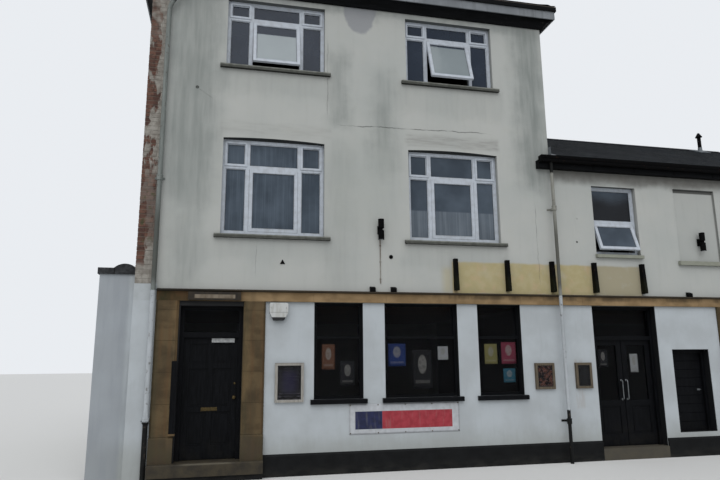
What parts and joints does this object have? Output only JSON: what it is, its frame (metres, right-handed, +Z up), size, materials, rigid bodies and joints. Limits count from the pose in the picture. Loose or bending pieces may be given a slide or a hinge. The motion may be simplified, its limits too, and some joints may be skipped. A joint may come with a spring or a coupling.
{
  "type": "street hotel building",
  "caption": "Street hotel with a tall rendered block and a lower wing, stone shop-front band, framed windows and panelled doors that swing inwards.",
  "frame": {"origin": "centre of the ground under the building's whole outline, roof edges and side wall included", "axes": "+X along the street front to the right as seen from the street, +Y from the street to the back, +Z up"},
  "size_m": [14.79, 7.3, 10.7373],
  "materials": {
    "off_white_render": "weathered painted render, matt",
    "white_wall_paint": "painted brickwork, matt",
    "bare_brick": "old brick with remnants of render",
    "brown_stone": "sandstone, painted and weathered",
    "sill_stone": "sandstone, weathered",
    "step_stone": "worn paving stone",
    "black_plinth": "black masonry paint",
    "coping_stone": "dark weathered stone",
    "cornice_grey": "weathered pale grey paint",
    "cornice_black": "black paint",
    "roof_slate": "natural slate, matt",
    "black_timber": "black gloss paint, worn",
    "black_iron": "black painted iron",
    "white_plastic": "white plastic section",
    "clear_glass": "clear window glass",
    "floor_boards": "bare boards and plaster",
    "ground_slab": "concrete floor",
    "alarm_white": "white moulded shell",
    "grey_metal": "grey painted sheet",
    "board_metal": "dark panel in a pale frame"
  },
  "bodies": {
    "building": {"alarm_box": "alarm_white", "brick_quoin": "bare_brick", "closed_window_frames": "white_plastic", "cornice_fascia": "cornice_grey", "cornice_front_and_rear": "cornice_black", "cornice_sides": "cornice_black", "door_heads": "black_timber", "door_jambs": "black_timber", "door_light_box": "grey_metal", "door_steps": "step_stone", "doorway_walling": "white_wall_paint", "downpipes": "black_iron", "front_plinth": "black_plinth", "front_wall_ground": "white_wall_paint", "front_wall_upper": "off_white_render", "ground_floors": "ground_slab", "ground_glass": "clear_glass", "ground_sills": "black_timber", "ground_window_frames": "black_timber", "jamb_board": "board_metal", "main_roof_front": "roof_slate", "main_roof_hips": "roof_slate", "main_roof_rear": "roof_slate", "main_side_walls": "off_white_render", "menu_boards": "board_metal", "open_window_frames": "white_plastic", "outside_lights": "board_metal", "pilasters": "brown_stone", "rear_wall": "off_white_render", "roof_vent": "grey_metal", "side_wall": "white_wall_paint", "side_wall_coping": "coping_stone", "sign_brackets": "black_iron", "stone_sills": "sill_stone", "storey_band": "brown_stone", "upper_floors": "floor_boards", "upper_glass": "clear_glass", "wall_piers": "white_wall_paint", "window_sashes": "white_plastic", "wing_fascia": "black_timber", "wing_gutter": "black_iron", "wing_party_wall": "off_white_render", "wing_rear_wall": "off_white_render", "wing_roof_front": "roof_slate", "wing_roof_rear": "roof_slate", "wing_wall_right": "white_wall_paint", "wing_wall_upper": "off_white_render"},
    "main_door": {"main_door_leaf": "black_timber"},
    "wing_left_door": {"wing_left_leaf": "black_timber", "wing_left_leaf_glass": "clear_glass"},
    "wing_right_door": {"wing_right_leaf": "black_timber", "wing_right_leaf_glass": "clear_glass"},
    "small_door": {"small_door_leaf": "black_timber"}
  },
  "joints": [
    {"name": "main_door_hinge", "type": "hinge", "parent": "building", "child": "main_door", "pos_m": [-6.031, -3.156, 1.21], "axis": [0, 0, 1], "range_deg": [0, 90]},
    {"name": "wing_left_door_hinge", "type": "hinge", "parent": "building", "child": "wing_left_door", "pos_m": [1.249, -3.156, 1.15], "axis": [0, 0, 1], "range_deg": [0, 90]},
    {"name": "wing_right_door_hinge", "type": "hinge", "parent": "building", "child": "wing_right_door", "pos_m": [2.476, -3.156, 1.15], "axis": [0, 0, -1], "range_deg": [0, 90]},
    {"name": "small_door_hinge", "type": "hinge", "parent": "building", "child": "small_door", "pos_m": [2.869, -3.156, 1.15], "axis": [0, 0, 1], "range_deg": [0, 90]}
  ]
}
